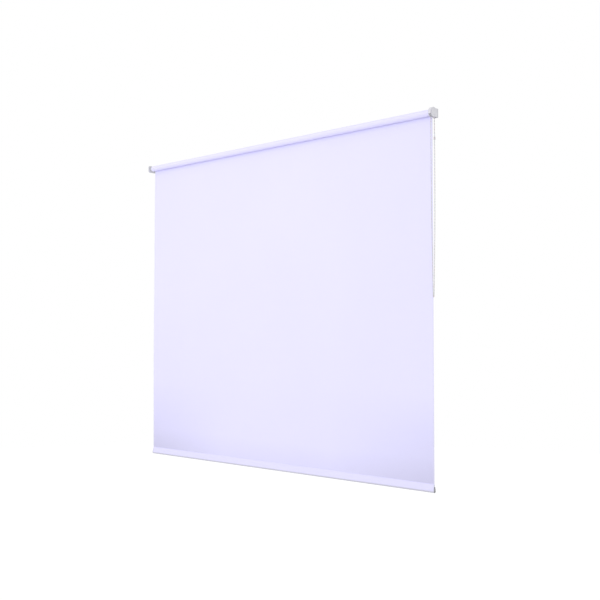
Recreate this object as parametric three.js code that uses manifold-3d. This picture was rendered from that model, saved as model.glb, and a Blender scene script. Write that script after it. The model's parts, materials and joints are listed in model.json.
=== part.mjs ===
// Chain-operated roller blind: a plain fabric wound on an aluminium tube between two wall brackets,
// a bead-chain drive with a wrap-spring brake at the right end, a spring-loaded pin at the left end,
// and a weighted rail in a hem pocket along the bottom of the fabric.
//
// Millimetres. X runs along the roller with the chain at +X, Y points into the wall, Z is up. The
// origin is the middle of the wall face of the control bracket.

import * as THREE from 'three';
import { mergeVertices } from 'three/addons/utils/BufferGeometryUtils.js';
import Module from 'manifold-3d';

const wasm = await Module();
wasm.setup();

// ---- Driving dimensions ----
const FABRIC_WIDTH = 1800;
const DROP = 1500; // roller axis down to the lower edge of the hem
const FABRIC_THICKNESS = 0.4;
const AXIS_FROM_WALL = 27;
const GAP = 0.3; // clearance between pieces that touch on the real blind
const RUNNING_GAP = 0.35; // radial clearance between a turning piece and what it turns on
const ROUND_SEGMENTS = 40;
const CUT_MARGIN = 1; // how far a cutting tool reaches beyond what it cuts
const OVERLAP = 0.2; // how far two halves of one piece are drawn into each other

// Roller
const TUBE_RADIUS = 12.5;
const TUBE_WALL = 1.0;
const TUBE_KEY = { width: 1.6, height: 0.7 };
const TAPE = { thickness: 0.12, clearance: 0.08, halfAngle: 18, endInset: 2 };
const WINDING = { pitch: 0.48, turns: 1.25 };

// Parts pressed into the tube ends
const PLUG_FLANGE = { radius: 13, thickness: 1.7 };
const PLUG_KEYWAY = { width: 2.4, depth: 0.7 };

// Control unit: chain wheel between two round cheeks, on a fixed spindle
const CHEEK_RADIUS = 20.5;
const CHEEK_THICKNESS = 1.7;
const WHEEL_END_GAP = { inner: 0.5, outer: 0.6 };
const GUARD_END_GAP = 0.6;
const GUARD_HOLE_GAP = 0.8;
const GUARD_RIM_THICKNESS = 1.8;
const GUARD_MOUTH_Z = -7; // the rim stops here, so that the chain can hang out
const SPINDLE_RADIUS = 6;
const SPINDLE_LENGTH = 54;
const WHEEL = {
  radius: 16.5, width: 10.4, rimWidth: 1.8, grooveSteps: 6, pockets: 13, pocketRadius: 3,
};
const DRIVER = { inner: 8.2, outer: 9.5, length: 37, from: 0, to: 180 };
const SLEEVE = { inner: 9.85, ribInner: 8.3, ribFrom: -130, ribTo: -50, endWall: 2 };
const BRAKE_SPRING = {
  wire: 1.1, clearance: 0.05, turns: 5, pitch: 1.35, tangReach: 9, tangAngle: -25,
  firstFromWall: 4, apart: 6,
};
const SCREW = {
  shankRadius: 1.5, headRadius: 3.4, headHeight: 2, headEdge: 0.8, length: 12, pointLength: 1,
  endGap: 0.5, slotDepth: 1.1, slotWidth: 0.9,
};
const WASHER = { radius: 9, thickness: 1.2 };

// Bead chain
const BEAD_DIAMETER = 4.5;
const BEAD_PITCH = 6;
const CHAIN_SIDES = 8;
const CHAIN_EXIT_Z = -15;
const CONNECTOR = { radius: 3.7, length: 12, topZ: -96, endChamfer: [0.8, 1.2], x: 0.1 };

// Brackets: an upright plate beside the roller with a flange turned inwards along the wall
const BRACKET = {
  thickness: 1.6, bend: 3, depth: 44, bottom: -18.5, top: 16.5,
  flange: 25, cornerRadius: 8, flangeCorner: 4,
};
const FIXING_SLOT = { width: 4.6, length: 8, spacing: 21 };
const PRONG = { width: 8, thickness: 2.6, offset: 10, root: 0.3 };

// Idle end
const IDLE_HEAD = { length: 9, radius: 8.5, straight: 3 };
const PIN = {
  radius: 2.5, tipEdge: 0.7, tipInset: 0.3, collar: 4.8, collarThickness: 1.8, tail: 2.2, tailLength: 7.5,
};
const SPRING_SIDES = 5;
const PIN_SPRING = { wire: 0.8, radius: 3.9, turns: 7 };
const SPRING_CHAMBER = { radius: 5.2, length: 27 };
const SPRING_STOP = { thickness: 3, edge: 0.6 };
const PLUG_LENGTH = 35;

// Hem and rail: a drop-shaped section, given by its round foot and its small round top. The end
// caps cover the hollow lower part of the rail.
const HEM = { height: 33, foot: 5.6, top: 1.6 };
const RAIL_HOLLOW = { foot: 3.9, top: 1, topBelow: 12 };
const RAIL_CAP = { thickness: 1.3, height: 24, proud: 0.2, top: 2.9, plugRadius: 3.5, plugLength: 14 };

// ---- Places worked out from the dimensions ----
const HALF_WIDTH = FABRIC_WIDTH / 2;
const AXIS_Y = -AXIS_FROM_WALL;
const TUBE_BORE = TUBE_RADIUS - TUBE_WALL;
const PLUG_RADIUS = TUBE_BORE - GAP;
const SPIRAL_GROWTH = WINDING.pitch * WINDING.turns;
const TAPE_OUTER = TUBE_RADIUS + TAPE.clearance + TAPE.thickness;
const ROLL_RADIUS = TAPE_OUTER + TAPE.clearance + SPIRAL_GROWTH + FABRIC_THICKNESS;
const SHEET_Y = AXIS_Y + ROLL_RADIUS - FABRIC_THICKNESS / 2;

const SLEEVE_FLANGE_END = HALF_WIDTH + GAP + PLUG_FLANGE.thickness;
const GUARD_INNER_X = SLEEVE_FLANGE_END + GUARD_END_GAP;
const WHEEL_INNER_X = GUARD_INNER_X + CHEEK_THICKNESS + WHEEL_END_GAP.inner;
const WHEEL_OUTER_X = WHEEL_INNER_X + WHEEL.width;
const CHAIN_X = (WHEEL_INNER_X + WHEEL_OUTER_X) / 2;
const HUB_INNER_X = WHEEL_OUTER_X + WHEEL_END_GAP.outer;
const HUB_OUTER_X = HUB_INNER_X + CHEEK_THICKNESS;
const PLATE_INNER_X = HUB_OUTER_X + GAP;
const PLATE_OUTER_X = PLATE_INNER_X + BRACKET.thickness;
const SPINDLE_END_X = HUB_INNER_X - SPINDLE_LENGTH;
const SLEEVE_END_X = SPINDLE_END_X + GAP;
const FLANGE_X = PLATE_OUTER_X - BRACKET.flange / 2;
const FLANGE_Z = (BRACKET.bottom + BRACKET.top) / 2;

const CHAIN_PITCH_RADIUS = (WHEEL.pockets * BEAD_PITCH) / (2 * Math.PI);
const BEAD_RADIUS = BEAD_DIAMETER / 2;

const HEM_FOOT_Z = -DROP + HEM.foot;
const HEM_TOP_Z = -DROP + HEM.height - HEM.top;
const IDLE_X = -HALF_WIDTH - GAP; // tube side of the idle plug's flange
const PLUG_END_X = IDLE_X + PLUG_LENGTH;
const CHAMBER_START_X = PLUG_END_X - SPRING_CHAMBER.length;
const COLLAR_START_X = CHAMBER_START_X + GAP;
const COLLAR_END_X = COLLAR_START_X + PIN.collarThickness;
const SPRING_STOP_X = PLUG_END_X - SPRING_STOP.thickness;

// Route of the hanging chain below the guard: out of the rear of the wheel, down, round the bottom
// and up to the front. Each point is an offset from the chain wheel's centre: along X, Y and Z.
const CHAIN_ROUTE = [
  [0.0, 12.4, -15], [0.0, 12.4, -40], [0.1, 12.4, -90], [0.3, 12.4, -160],
  [0.5, 12.3, -240], [0.5, 12.1, -320], [0.3, 11.8, -400], [-0.3, 11.4, -480],
  [-1.3, 10.9, -555], [-2.4, 10.3, -620], [-3.3, 9.9, -675], [-3.6, 9.6, -695], [-3.8, 9.5, -709],
  [-3.9, 9.4, -716], [-3.9, 9.3, -720.9], [-3.6, 8.5, -725.1], [-2.5, 6.4, -728.6],
  [-0.9, 3.2, -731], [0.9, -0.5, -731.8], [2.7, -4.2, -731], [4.3, -7.4, -728.6],
  [5.4, -9.5, -725.1], [5.7, -10.3, -720.9], [5.7, -10.3, -716], [5.6, -10.4, -709],
  [5.4, -10.5, -695], [5.1, -10.6, -675], [4.3, -11, -620], [3.3, -11.3, -555], [2.3, -11.7, -480],
  [1.4, -12.0, -400], [0.7, -12.2, -320], [0.3, -12.3, -240], [0.1, -12.4, -160],
  [0.0, -12.4, -90], [0.0, -12.4, -40], [0.0, -12.4, -15],
];
const STEPS_PER_ROUTE_POINT = 2;

// ---- Materials ----
function paint(colour, roughness, metalness = 0) {
  return new THREE.MeshStandardMaterial({ color: colour, roughness, metalness });
}

const FABRIC = () => paint(0xeeebfb, 0.9);
const WHITE_PLASTIC = () => paint(0xe9e8ec, 0.45);
const CHAIN_PLASTIC = () => paint(0xf0eff4, 0.35);
const CAP_PLASTIC = () => paint(0x9a99a2, 0.5);
const PAINTED_STEEL = () => paint(0xe4e3e8, 0.4, 0.1);
const ALUMINIUM = () => paint(0xc4c6ca, 0.35, 0.9);
const SPRING_STEEL = () => paint(0x8d8f94, 0.3, 1);
const ZINC_STEEL = () => paint(0xb6b8bc, 0.35, 1);
const TAPE_FILM = () => paint(0xf4f1e4, 0.6);

// ---- Geometry helpers ----
const rad = THREE.MathUtils.degToRad;

// Turns a section drawn in (Y, Z) and extruded along its own axis to lie along X.
const SECTION_ALONG_X = new THREE.Matrix4().makeBasis(
  new THREE.Vector3(0, 1, 0),
  new THREE.Vector3(0, 0, 1),
  new THREE.Vector3(1, 0, 0),
);
// Turns a section drawn in (X, Z) to run along -Y.
const SECTION_ALONG_Y = new THREE.Matrix4().makeBasis(
  new THREE.Vector3(1, 0, 0),
  new THREE.Vector3(0, 0, 1),
  new THREE.Vector3(0, -1, 0),
);
// Turns a lathe's axis to lie along X.
const LATHE_ALONG_X = new THREE.Matrix4().makeBasis(
  new THREE.Vector3(0, 1, 0),
  new THREE.Vector3(1, 0, 0),
  new THREE.Vector3(0, 0, -1),
);

function mergedPositions(geometry) {
  const bare = geometry.clone();
  bare.deleteAttribute('normal');
  bare.deleteAttribute('uv');
  return mergeVertices(bare, 1e-4);
}

function toSolid(geometry) {
  const merged = mergedPositions(geometry);
  const corners = merged.index.array;
  const triangles = [];
  for (let i = 0; i < corners.length; i += 3) {
    const [a, b, c] = [corners[i], corners[i + 1], corners[i + 2]];
    if (a !== b && b !== c && c !== a) triangles.push(a, b, c);
  }
  return new wasm.Manifold(new wasm.Mesh({
    numProp: 3,
    vertProperties: new Float32Array(merged.attributes.position.array),
    triVerts: new Uint32Array(triangles),
  }));
}

function toGeometry(solid) {
  const mesh = solid.getMesh();
  const geometry = new THREE.BufferGeometry();
  geometry.setAttribute('position', new THREE.BufferAttribute(mesh.vertProperties, 3));
  geometry.setIndex(new THREE.BufferAttribute(mesh.triVerts, 1));
  geometry.computeVertexNormals();
  return geometry;
}

function joined(first, ...others) {
  return toGeometry(others.reduce((solid, other) => solid.add(toSolid(other)), toSolid(first)));
}

function cut(base, ...tools) {
  return toGeometry(tools.reduce((solid, tool) => solid.subtract(toSolid(tool)), toSolid(base)));
}

function common(first, second) {
  return toGeometry(toSolid(first).intersect(toSolid(second)));
}

function mirroredInX(geometry) {
  const mirrored = mergedPositions(geometry).scale(-1, 1, 1);
  const corners = mirrored.index.array;
  for (let i = 0; i < corners.length; i += 3) {
    [corners[i], corners[i + 1]] = [corners[i + 1], corners[i]];
  }
  return mirrored;
}

// A section in (Y, Z), extruded from x0 to x1. The section's centre is the roller axis.
// A whole circle gets twice its curveSegments.
function alongX(shape, x0, x1, curveSegments = ROUND_SEGMENTS / 2) {
  const options = { depth: x1 - x0, bevelEnabled: false, curveSegments };
  return new THREE.ExtrudeGeometry(shape, options)
    .applyMatrix4(SECTION_ALONG_X)
    .translate(x0, AXIS_Y, 0);
}

// A profile of [radius, x] points turned about the roller axis.
function turned(profile, segments = ROUND_SEGMENTS) {
  const points = profile.map(([radius, x]) => new THREE.Vector2(radius, x));
  return new THREE.LatheGeometry(points, segments)
    .applyMatrix4(LATHE_ALONG_X)
    .translate(0, AXIS_Y, 0);
}

// A ring about the roller axis between two radii and two places along X.
function ring(inner, outer, x0, x1) {
  return turned([[inner, x0], [outer, x0], [outer, x1], [inner, x1], [inner, x0]]);
}

function box(sizeX, sizeY, sizeZ, x, y, z) {
  return new THREE.BoxGeometry(sizeX, sizeY, sizeZ).translate(x, y, z);
}

function circleHole(radius) {
  const hole = new THREE.Path();
  hole.absarc(0, 0, radius, 0, 2 * Math.PI, true);
  return hole;
}

function circleShape(radius) {
  const shape = new THREE.Shape();
  shape.absarc(0, 0, radius, 0, 2 * Math.PI, false);
  return shape;
}

// A circle whose lowest point is stepped inwards: the key in the tube's bore, or the keyway of what
// is pressed into it.
function keyedCircle(path, radius, keyWidth, keyDepth) {
  const half = Math.asin(keyWidth / 2 / radius);
  path.absarc(0, 0, radius, -Math.PI / 2 + half, (3 * Math.PI) / 2 - half, false);
  path.lineTo(-keyWidth / 2, -radius + keyDepth);
  path.lineTo(keyWidth / 2, -radius + keyDepth);
  path.closePath();
  return path;
}

function rectangleWithRoundEnds(x0, x1, y0, y1, radius, roundLow, roundHigh) {
  const shape = new THREE.Shape();
  const low = roundLow ? radius : 0;
  const high = roundHigh ? radius : 0;
  shape.moveTo(x0 + low, y0);
  shape.lineTo(x1 - high, y0);
  if (roundHigh) {
    shape.absarc(x1 - high, y0 + high, high, -Math.PI / 2, 0, false);
    shape.absarc(x1 - high, y1 - high, high, 0, Math.PI / 2, false);
  } else {
    shape.lineTo(x1, y1);
  }
  shape.lineTo(x0 + low, y1);
  if (roundLow) {
    shape.absarc(x0 + low, y1 - low, low, Math.PI / 2, Math.PI, false);
    shape.absarc(x0 + low, y0 + low, low, Math.PI, (3 * Math.PI) / 2, false);
  }
  shape.closePath();
  return shape;
}

// Drop-shaped outline in (Y, Z) about the hem's own middle line: a round foot and a small round top
// joined by their two common tangents.
function dropOutline(path, foot, top, topZ = HEM_TOP_Z) {
  const lean = Math.asin((foot - top) / (topZ - HEM_FOOT_Z));
  const y = SHEET_Y - AXIS_Y;
  path.absarc(y, topZ, top, lean, Math.PI - lean, false);
  path.absarc(y, HEM_FOOT_Z, foot, Math.PI - lean, 2 * Math.PI + lean, false);
  path.closePath();
  return path;
}

// Curve whose steps follow its own points instead of its length, so that the tight stretches, where
// the points lie close, get the most steps.
class RouteCurve extends THREE.CatmullRomCurve3 {
  getUtoTmapping(u) {
    return u;
  }
}

function wire(points, radius, sides, steps) {
  const section = new THREE.Shape();
  for (let i = 0; i < sides; i += 1) {
    const angle = (2 * Math.PI * i) / sides;
    const place = [radius * Math.cos(angle), radius * Math.sin(angle)];
    if (i === 0) section.moveTo(...place);
    else section.lineTo(...place);
  }
  section.closePath();
  const extrudePath = new RouteCurve(points, false, 'centripetal');
  return new THREE.ExtrudeGeometry(section, { steps, bevelEnabled: false, extrudePath });
}

// Point at an angle round the roller axis. Angle 0 points into the wall and 90 degrees points up.
function aroundAxis(x, radius, degrees) {
  const angle = rad(degrees);
  return new THREE.Vector3(x, AXIS_Y + radius * Math.cos(angle), radius * Math.sin(angle));
}

// ---- Brackets ----
// The angle bracket of the +X side: plan section, then its two faces trimmed to rounded outlines.
function bracketBlank() {
  const { thickness, bend, depth, bottom, top, flange, cornerRadius, flangeCorner } = BRACKET;
  const flangeEnd = PLATE_OUTER_X - flange;
  const bendX = PLATE_OUTER_X - bend;
  const plan = new THREE.Shape();
  plan.moveTo(flangeEnd, 0);
  plan.lineTo(flangeEnd, -thickness);
  plan.lineTo(bendX, -thickness);
  plan.absarc(bendX, -bend, bend - thickness, Math.PI / 2, 0, true);
  plan.lineTo(PLATE_INNER_X, -depth);
  plan.lineTo(PLATE_OUTER_X, -depth);
  plan.absarc(bendX, -bend, bend, 0, Math.PI / 2, false);
  plan.closePath();
  const options = { depth: top - bottom, bevelEnabled: false, curveSegments: 4 };
  const angle = new THREE.ExtrudeGeometry(plan, options).translate(0, 0, bottom);

  const plateOutline = rectangleWithRoundEnds(
    -depth - AXIS_Y, AXIS_FROM_WALL + CUT_MARGIN, bottom, top, cornerRadius, true, false,
  );
  const plateTrim = alongX(plateOutline, flangeEnd - CUT_MARGIN, PLATE_OUTER_X + CUT_MARGIN, 4);
  const flangeOutline = rectangleWithRoundEnds(
    flangeEnd, PLATE_OUTER_X + CUT_MARGIN, bottom, top, flangeCorner, true, false,
  );
  const flangeTrim = throughY(flangeOutline, CUT_MARGIN, -depth - CUT_MARGIN, 3);
  return common(common(angle, plateTrim), flangeTrim);
}

// A section in (X, Z), extruded from y0 towards the room to y1.
function throughY(shape, y0, y1, curveSegments) {
  const options = { depth: y0 - y1, bevelEnabled: false, curveSegments };
  return new THREE.ExtrudeGeometry(shape, options)
    .applyMatrix4(SECTION_ALONG_Y)
    .translate(0, y0, 0);
}

function fixingSlots() {
  const { width, length, spacing } = FIXING_SLOT;
  return [-spacing / 2, spacing / 2].map((offset) => {
    const z = FLANGE_Z + offset;
    const slot = rectangleWithRoundEnds(
      FLANGE_X - length / 2, FLANGE_X + length / 2, z - width / 2, z + width / 2, width / 2, true, true,
    );
    return throughY(slot, CUT_MARGIN, -BRACKET.thickness - CUT_MARGIN, 3);
  });
}

function controlBracket() {
  const prongSlots = [-PRONG.offset, PRONG.offset].map((z) => box(
    BRACKET.thickness + 2 * CUT_MARGIN,
    PRONG.width + 2 * GAP,
    PRONG.thickness + 2 * GAP,
    PLATE_INNER_X + BRACKET.thickness / 2,
    AXIS_Y,
    z,
  ));
  return cut(bracketBlank(), ...fixingSlots(), ...prongSlots);
}

function idleBracket() {
  const pinHole = alongX(
    circleShape(PIN.radius + RUNNING_GAP), PLATE_INNER_X - CUT_MARGIN, PLATE_OUTER_X + CUT_MARGIN, 12,
  );
  return mirroredInX(cut(bracketBlank(), ...fixingSlots(), pinHole));
}

// ---- Control unit ----
function controlHub() {
  const boreRadius = SCREW.shankRadius + GAP;
  const boreEnd = SPINDLE_END_X + SCREW.length;
  const body = turned([
    [0, boreEnd],
    [boreRadius, boreEnd],
    [boreRadius, SPINDLE_END_X],
    [SPINDLE_RADIUS, SPINDLE_END_X],
    [SPINDLE_RADIUS, HUB_INNER_X],
    [CHEEK_RADIUS, HUB_INNER_X],
    [CHEEK_RADIUS, HUB_OUTER_X],
    [0, HUB_OUTER_X],
  ]);
  const reach = PLATE_OUTER_X - HUB_OUTER_X + PRONG.root;
  const prongs = [-PRONG.offset, PRONG.offset].map((z) => box(
    reach, PRONG.width, PRONG.thickness, PLATE_OUTER_X - reach / 2, AXIS_Y, z,
  ));
  return joined(body, ...prongs);
}

function chainGuard() {
  const cheekEnd = GUARD_INNER_X + CHEEK_THICKNESS;
  const rimInner = CHEEK_RADIUS - GUARD_RIM_THICKNESS;
  const rimEnd = HUB_INNER_X - GAP;
  const holeRadius = DRIVER.outer + GUARD_HOLE_GAP;
  const cup = turned([
    [holeRadius, GUARD_INNER_X],
    [CHEEK_RADIUS, GUARD_INNER_X],
    [CHEEK_RADIUS, rimEnd],
    [rimInner, rimEnd],
    [rimInner, cheekEnd],
    [holeRadius, cheekEnd],
    [holeRadius, GUARD_INNER_X],
  ]);
  const mouthWidth = rimEnd - cheekEnd + 2 * CUT_MARGIN;
  const mouthHeight = CHEEK_RADIUS;
  const mouth = box(
    mouthWidth,
    2 * (CHEEK_RADIUS + CUT_MARGIN),
    mouthHeight,
    cheekEnd + mouthWidth / 2,
    AXIS_Y,
    GUARD_MOUTH_Z - mouthHeight / 2,
  );
  return cut(cup, mouth);
}

function chainWheel() {
  const grooveRadius = BEAD_RADIUS + RUNNING_GAP;
  const { radius, rimWidth, grooveSteps } = WHEEL;
  const bore = SPINDLE_RADIUS + RUNNING_GAP;
  const profile = [[bore, WHEEL_INNER_X], [radius, WHEEL_INNER_X], [radius, WHEEL_INNER_X + rimWidth]];
  for (let i = 0; i <= grooveSteps; i += 1) {
    const angle = (Math.PI * i) / grooveSteps;
    profile.push([
      CHAIN_PITCH_RADIUS - grooveRadius * Math.sin(angle),
      CHAIN_X - grooveRadius * Math.cos(angle),
    ]);
  }
  profile.push([radius, WHEEL_OUTER_X - rimWidth], [radius, WHEEL_OUTER_X], [bore, WHEEL_OUTER_X]);
  profile.push(profile[0]);
  const wheel = turned(profile);

  const pockets = [];
  for (let i = 0; i < WHEEL.pockets; i += 1) {
    const centre = aroundAxis(CHAIN_X, CHAIN_PITCH_RADIUS, (360 * i) / WHEEL.pockets);
    pockets.push(new THREE.SphereGeometry(WHEEL.pocketRadius, 8, 5).translate(...centre));
  }

  const driver = new THREE.Shape();
  driver.absarc(0, 0, DRIVER.outer, rad(DRIVER.from), rad(DRIVER.to), false);
  driver.absarc(0, 0, DRIVER.inner, rad(DRIVER.to), rad(DRIVER.from), true);
  driver.closePath();
  const tongue = alongX(driver, WHEEL_INNER_X - DRIVER.length, WHEEL_INNER_X + OVERLAP, 10);
  return joined(cut(wheel, ...pockets), tongue);
}

// Close-wound spring on the fixed spindle, with both ends turned out to lie beside the driver.
function brakeSpring(startX) {
  const radius = SPINDLE_RADIUS + RUNNING_GAP + BRAKE_SPRING.wire / 2 + BRAKE_SPRING.clearance;
  const perTurn = 16;
  const start = 180 - BRAKE_SPRING.tangAngle;
  const sweep = 360 * (BRAKE_SPRING.turns - 1) + 180 + 2 * BRAKE_SPRING.tangAngle;
  const length = BRAKE_SPRING.turns * BRAKE_SPRING.pitch;
  const count = Math.round((sweep / 360) * perTurn);
  const points = [aroundAxis(startX, BRAKE_SPRING.tangReach, start)];
  for (let i = 0; i <= count; i += 1) {
    const share = i / count;
    points.push(aroundAxis(startX + share * length, radius, start + share * sweep));
  }
  points.push(aroundAxis(startX + length, BRAKE_SPRING.tangReach, start + sweep));
  return wire(points, BRAKE_SPRING.wire / 2, SPRING_SIDES, points.length - 1);
}

// Outer outline of what is pressed into the tube: round, with a keyway for the tube's inner key.
function plugOutline() {
  return keyedCircle(new THREE.Shape(), PLUG_RADIUS, PLUG_KEYWAY.width, PLUG_KEYWAY.depth);
}

function driveSleeve() {
  const outline = plugOutline();
  const inside = new THREE.Path();
  inside.absarc(0, 0, SLEEVE.inner, rad(SLEEVE.ribTo), rad(SLEEVE.ribFrom + 360), false);
  inside.absarc(0, 0, SLEEVE.ribInner, rad(SLEEVE.ribFrom), rad(SLEEVE.ribTo), false);
  inside.closePath();
  outline.holes.push(inside);
  const wallEnd = SLEEVE_END_X + SLEEVE.endWall;
  const barrel = alongX(outline, wallEnd, HALF_WIDTH + GAP);

  const endOutline = plugOutline();
  endOutline.holes.push(circleHole(SPINDLE_RADIUS + RUNNING_GAP));
  const endWall = alongX(endOutline, SLEEVE_END_X, wallEnd);
  const flange = ring(SLEEVE.inner, PLUG_FLANGE.radius, HALF_WIDTH + GAP, SLEEVE_FLANGE_END);
  return joined(barrel, endWall, flange);
}

function retainingWasher() {
  const end = SPINDLE_END_X - GAP;
  return ring(SCREW.shankRadius + GAP, WASHER.radius, end - WASHER.thickness, end);
}

function retainingScrew() {
  const headX = SPINDLE_END_X - 2 * GAP - WASHER.thickness;
  const { shankRadius, headRadius, headHeight, headEdge, slotDepth, slotWidth } = SCREW;
  const tip = SPINDLE_END_X + SCREW.length - SCREW.endGap;
  const body = turned([
    [0, headX - headHeight],
    [headRadius - headEdge, headX - headHeight],
    [headRadius, headX - headHeight + headEdge],
    [headRadius, headX],
    [shankRadius, headX],
    [shankRadius, tip - SCREW.pointLength],
    [0, tip],
  ], 24);
  const slotLength = 2 * (headRadius + CUT_MARGIN);
  const slot = box(2 * slotDepth, slotLength, slotWidth, headX - headHeight, AXIS_Y, 0);
  return cut(body, slot);
}

// ---- Roller ----
function rollerTube() {
  const section = circleShape(TUBE_RADIUS);
  section.holes.push(keyedCircle(new THREE.Path(), TUBE_BORE, TUBE_KEY.width, TUBE_KEY.height));
  return alongX(section, -HALF_WIDTH, HALF_WIDTH);
}

// Sections that lie on one another share the same corner angles, so that thin gaps stay open.
function arcPoint(radius, degrees) {
  return new THREE.Vector2(radius * Math.cos(rad(degrees)), radius * Math.sin(rad(degrees)));
}

function strip(outerRadiusAt, thickness, fromDegrees, toDegrees) {
  const step = 360 / ROUND_SEGMENTS;
  const outer = [];
  const inner = [];
  for (let degrees = fromDegrees; degrees <= toDegrees + 1e-6; degrees += step) {
    const radius = outerRadiusAt(degrees);
    outer.push(arcPoint(radius, degrees));
    inner.unshift(arcPoint(radius - thickness, degrees));
  }
  return new THREE.Shape([...outer, ...inner]);
}

// Double-sided tape under the inner end of the fabric, along the top of the tube.
function fabricTape() {
  const section = strip(() => TAPE_OUTER, TAPE.thickness, 90 - TAPE.halfAngle, 90 + TAPE.halfAngle);
  return alongX(section, -HALF_WIDTH + TAPE.endInset, HALF_WIDTH - TAPE.endInset);
}

// The turns left on the tube when the blind is down: a spiral that starts at the wall side, where
// the hanging sheet reaches it, and runs over the top and inwards to the tape.
function fabricRoll() {
  const radiusAt = (degrees) => ROLL_RADIUS - (WINDING.pitch * degrees) / 360;
  const section = strip(radiusAt, FABRIC_THICKNESS, 0, 360 * WINDING.turns);
  return alongX(section, -HALF_WIDTH, HALF_WIDTH);
}

function fabricSheet() {
  const top = -GAP;
  const bottom = -DROP + HEM.height + GAP;
  return box(FABRIC_WIDTH, FABRIC_THICKNESS, top - bottom, 0, SHEET_Y, (top + bottom) / 2);
}

// ---- Idle end ----
function idleEndPlug() {
  const headEnd = IDLE_X - PLUG_FLANGE.thickness - IDLE_HEAD.length;
  const bore = PIN.radius + RUNNING_GAP;
  const body = turned([
    [bore, headEnd],
    [IDLE_HEAD.radius, headEnd],
    [IDLE_HEAD.radius, headEnd + IDLE_HEAD.straight],
    [PLUG_FLANGE.radius, IDLE_X - PLUG_FLANGE.thickness],
    [PLUG_FLANGE.radius, IDLE_X],
    [PLUG_RADIUS, IDLE_X],
    [PLUG_RADIUS, PLUG_END_X],
    [SPRING_CHAMBER.radius, PLUG_END_X],
    [SPRING_CHAMBER.radius, CHAMBER_START_X],
    [bore, CHAMBER_START_X],
    [bore, headEnd],
  ]);
  const keywayLength = PLUG_LENGTH + CUT_MARGIN;
  const keyway = box(
    keywayLength, PLUG_KEYWAY.width, 2 * PLUG_KEYWAY.depth,
    IDLE_X + keywayLength / 2, AXIS_Y, -PLUG_RADIUS,
  );
  return cut(body, keyway);
}

function idlePin() {
  const tip = -PLATE_OUTER_X + PIN.tipInset;
  return turned([
    [0, tip],
    [PIN.radius - PIN.tipEdge, tip],
    [PIN.radius, tip + PIN.tipEdge],
    [PIN.radius, COLLAR_START_X],
    [PIN.collar, COLLAR_START_X],
    [PIN.collar, COLLAR_END_X],
    [PIN.tail, COLLAR_END_X],
    [PIN.tail, COLLAR_END_X + PIN.tailLength],
    [0, COLLAR_END_X + PIN.tailLength],
  ], 24);
}

function idlePinSpring() {
  const perTurn = 12;
  const wireRadius = PIN_SPRING.wire / 2;
  const start = COLLAR_END_X + GAP + wireRadius;
  const length = SPRING_STOP_X - GAP - wireRadius - start;
  const count = PIN_SPRING.turns * perTurn;
  const points = [];
  for (let i = 0; i <= count; i += 1) {
    points.push(aroundAxis(start + (length * i) / count, PIN_SPRING.radius, (360 * i) / perTurn));
  }
  return wire(points, wireRadius, SPRING_SIDES, count);
}

function springStop() {
  const outer = SPRING_CHAMBER.radius - GAP;
  return turned([
    [0, SPRING_STOP_X],
    [outer - SPRING_STOP.edge, SPRING_STOP_X],
    [outer, SPRING_STOP_X + SPRING_STOP.edge],
    [outer, PLUG_END_X],
    [0, PLUG_END_X],
  ], 24);
}

// ---- Chain ----
function chainLoop() {
  const points = CHAIN_ROUTE.map(([x, y, z]) => new THREE.Vector3(CHAIN_X + x, AXIS_Y + y, z));
  const steps = (points.length - 1) * STEPS_PER_ROUTE_POINT;
  return wire(points, BEAD_RADIUS, CHAIN_SIDES, steps);
}

function chainOverWheel() {
  const exitZ = CHAIN_EXIT_Z + GAP;
  const points = [];
  const arcSteps = 12;
  points.push(new THREE.Vector3(CHAIN_X, AXIS_Y + CHAIN_PITCH_RADIUS, exitZ));
  points.push(new THREE.Vector3(CHAIN_X, AXIS_Y + CHAIN_PITCH_RADIUS, exitZ / 2));
  for (let i = 0; i <= arcSteps; i += 1) {
    points.push(aroundAxis(CHAIN_X, CHAIN_PITCH_RADIUS, (180 * i) / arcSteps));
  }
  points.push(new THREE.Vector3(CHAIN_X, AXIS_Y - CHAIN_PITCH_RADIUS, exitZ / 2));
  points.push(new THREE.Vector3(CHAIN_X, AXIS_Y - CHAIN_PITCH_RADIUS, exitZ));
  return wire(points, BEAD_RADIUS, CHAIN_SIDES, points.length - 1);
}

// Barrel that closes the chain into a loop, on its rear strand.
function chainConnector() {
  const bore = BEAD_RADIUS + GAP;
  const { radius, length, topZ } = CONNECTOR;
  const [chamferIn, chamferAlong] = CONNECTOR.endChamfer;
  const bottom = topZ - length;
  const profile = [
    [bore, bottom],
    [radius - chamferIn, bottom],
    [radius, bottom + chamferAlong],
    [radius, topZ - chamferAlong],
    [radius - chamferIn, topZ],
    [bore, topZ],
    [bore, bottom],
  ].map(([r, z]) => new THREE.Vector2(r, z));
  return new THREE.LatheGeometry(profile, 20)
    .rotateX(Math.PI / 2)
    .translate(CHAIN_X + CONNECTOR.x, AXIS_Y + CHAIN_PITCH_RADIUS, 0);
}

// ---- Hem and bottom rail ----
function hemPocket() {
  const section = dropOutline(new THREE.Shape(), HEM.foot, HEM.top);
  const inner = FABRIC_THICKNESS;
  section.holes.push(dropOutline(new THREE.Path(), HEM.foot - inner, HEM.top - inner));
  return alongX(section, -HALF_WIDTH, HALF_WIDTH, 12);
}

function bottomRail() {
  const inset = FABRIC_THICKNESS + GAP;
  const { foot, top, topBelow } = RAIL_HOLLOW;
  const section = dropOutline(new THREE.Shape(), HEM.foot - inset, HEM.top - inset);
  section.holes.push(dropOutline(new THREE.Path(), foot, top, HEM_TOP_Z - topBelow));
  return alongX(section, -HALF_WIDTH, HALF_WIDTH, 12);
}

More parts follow.
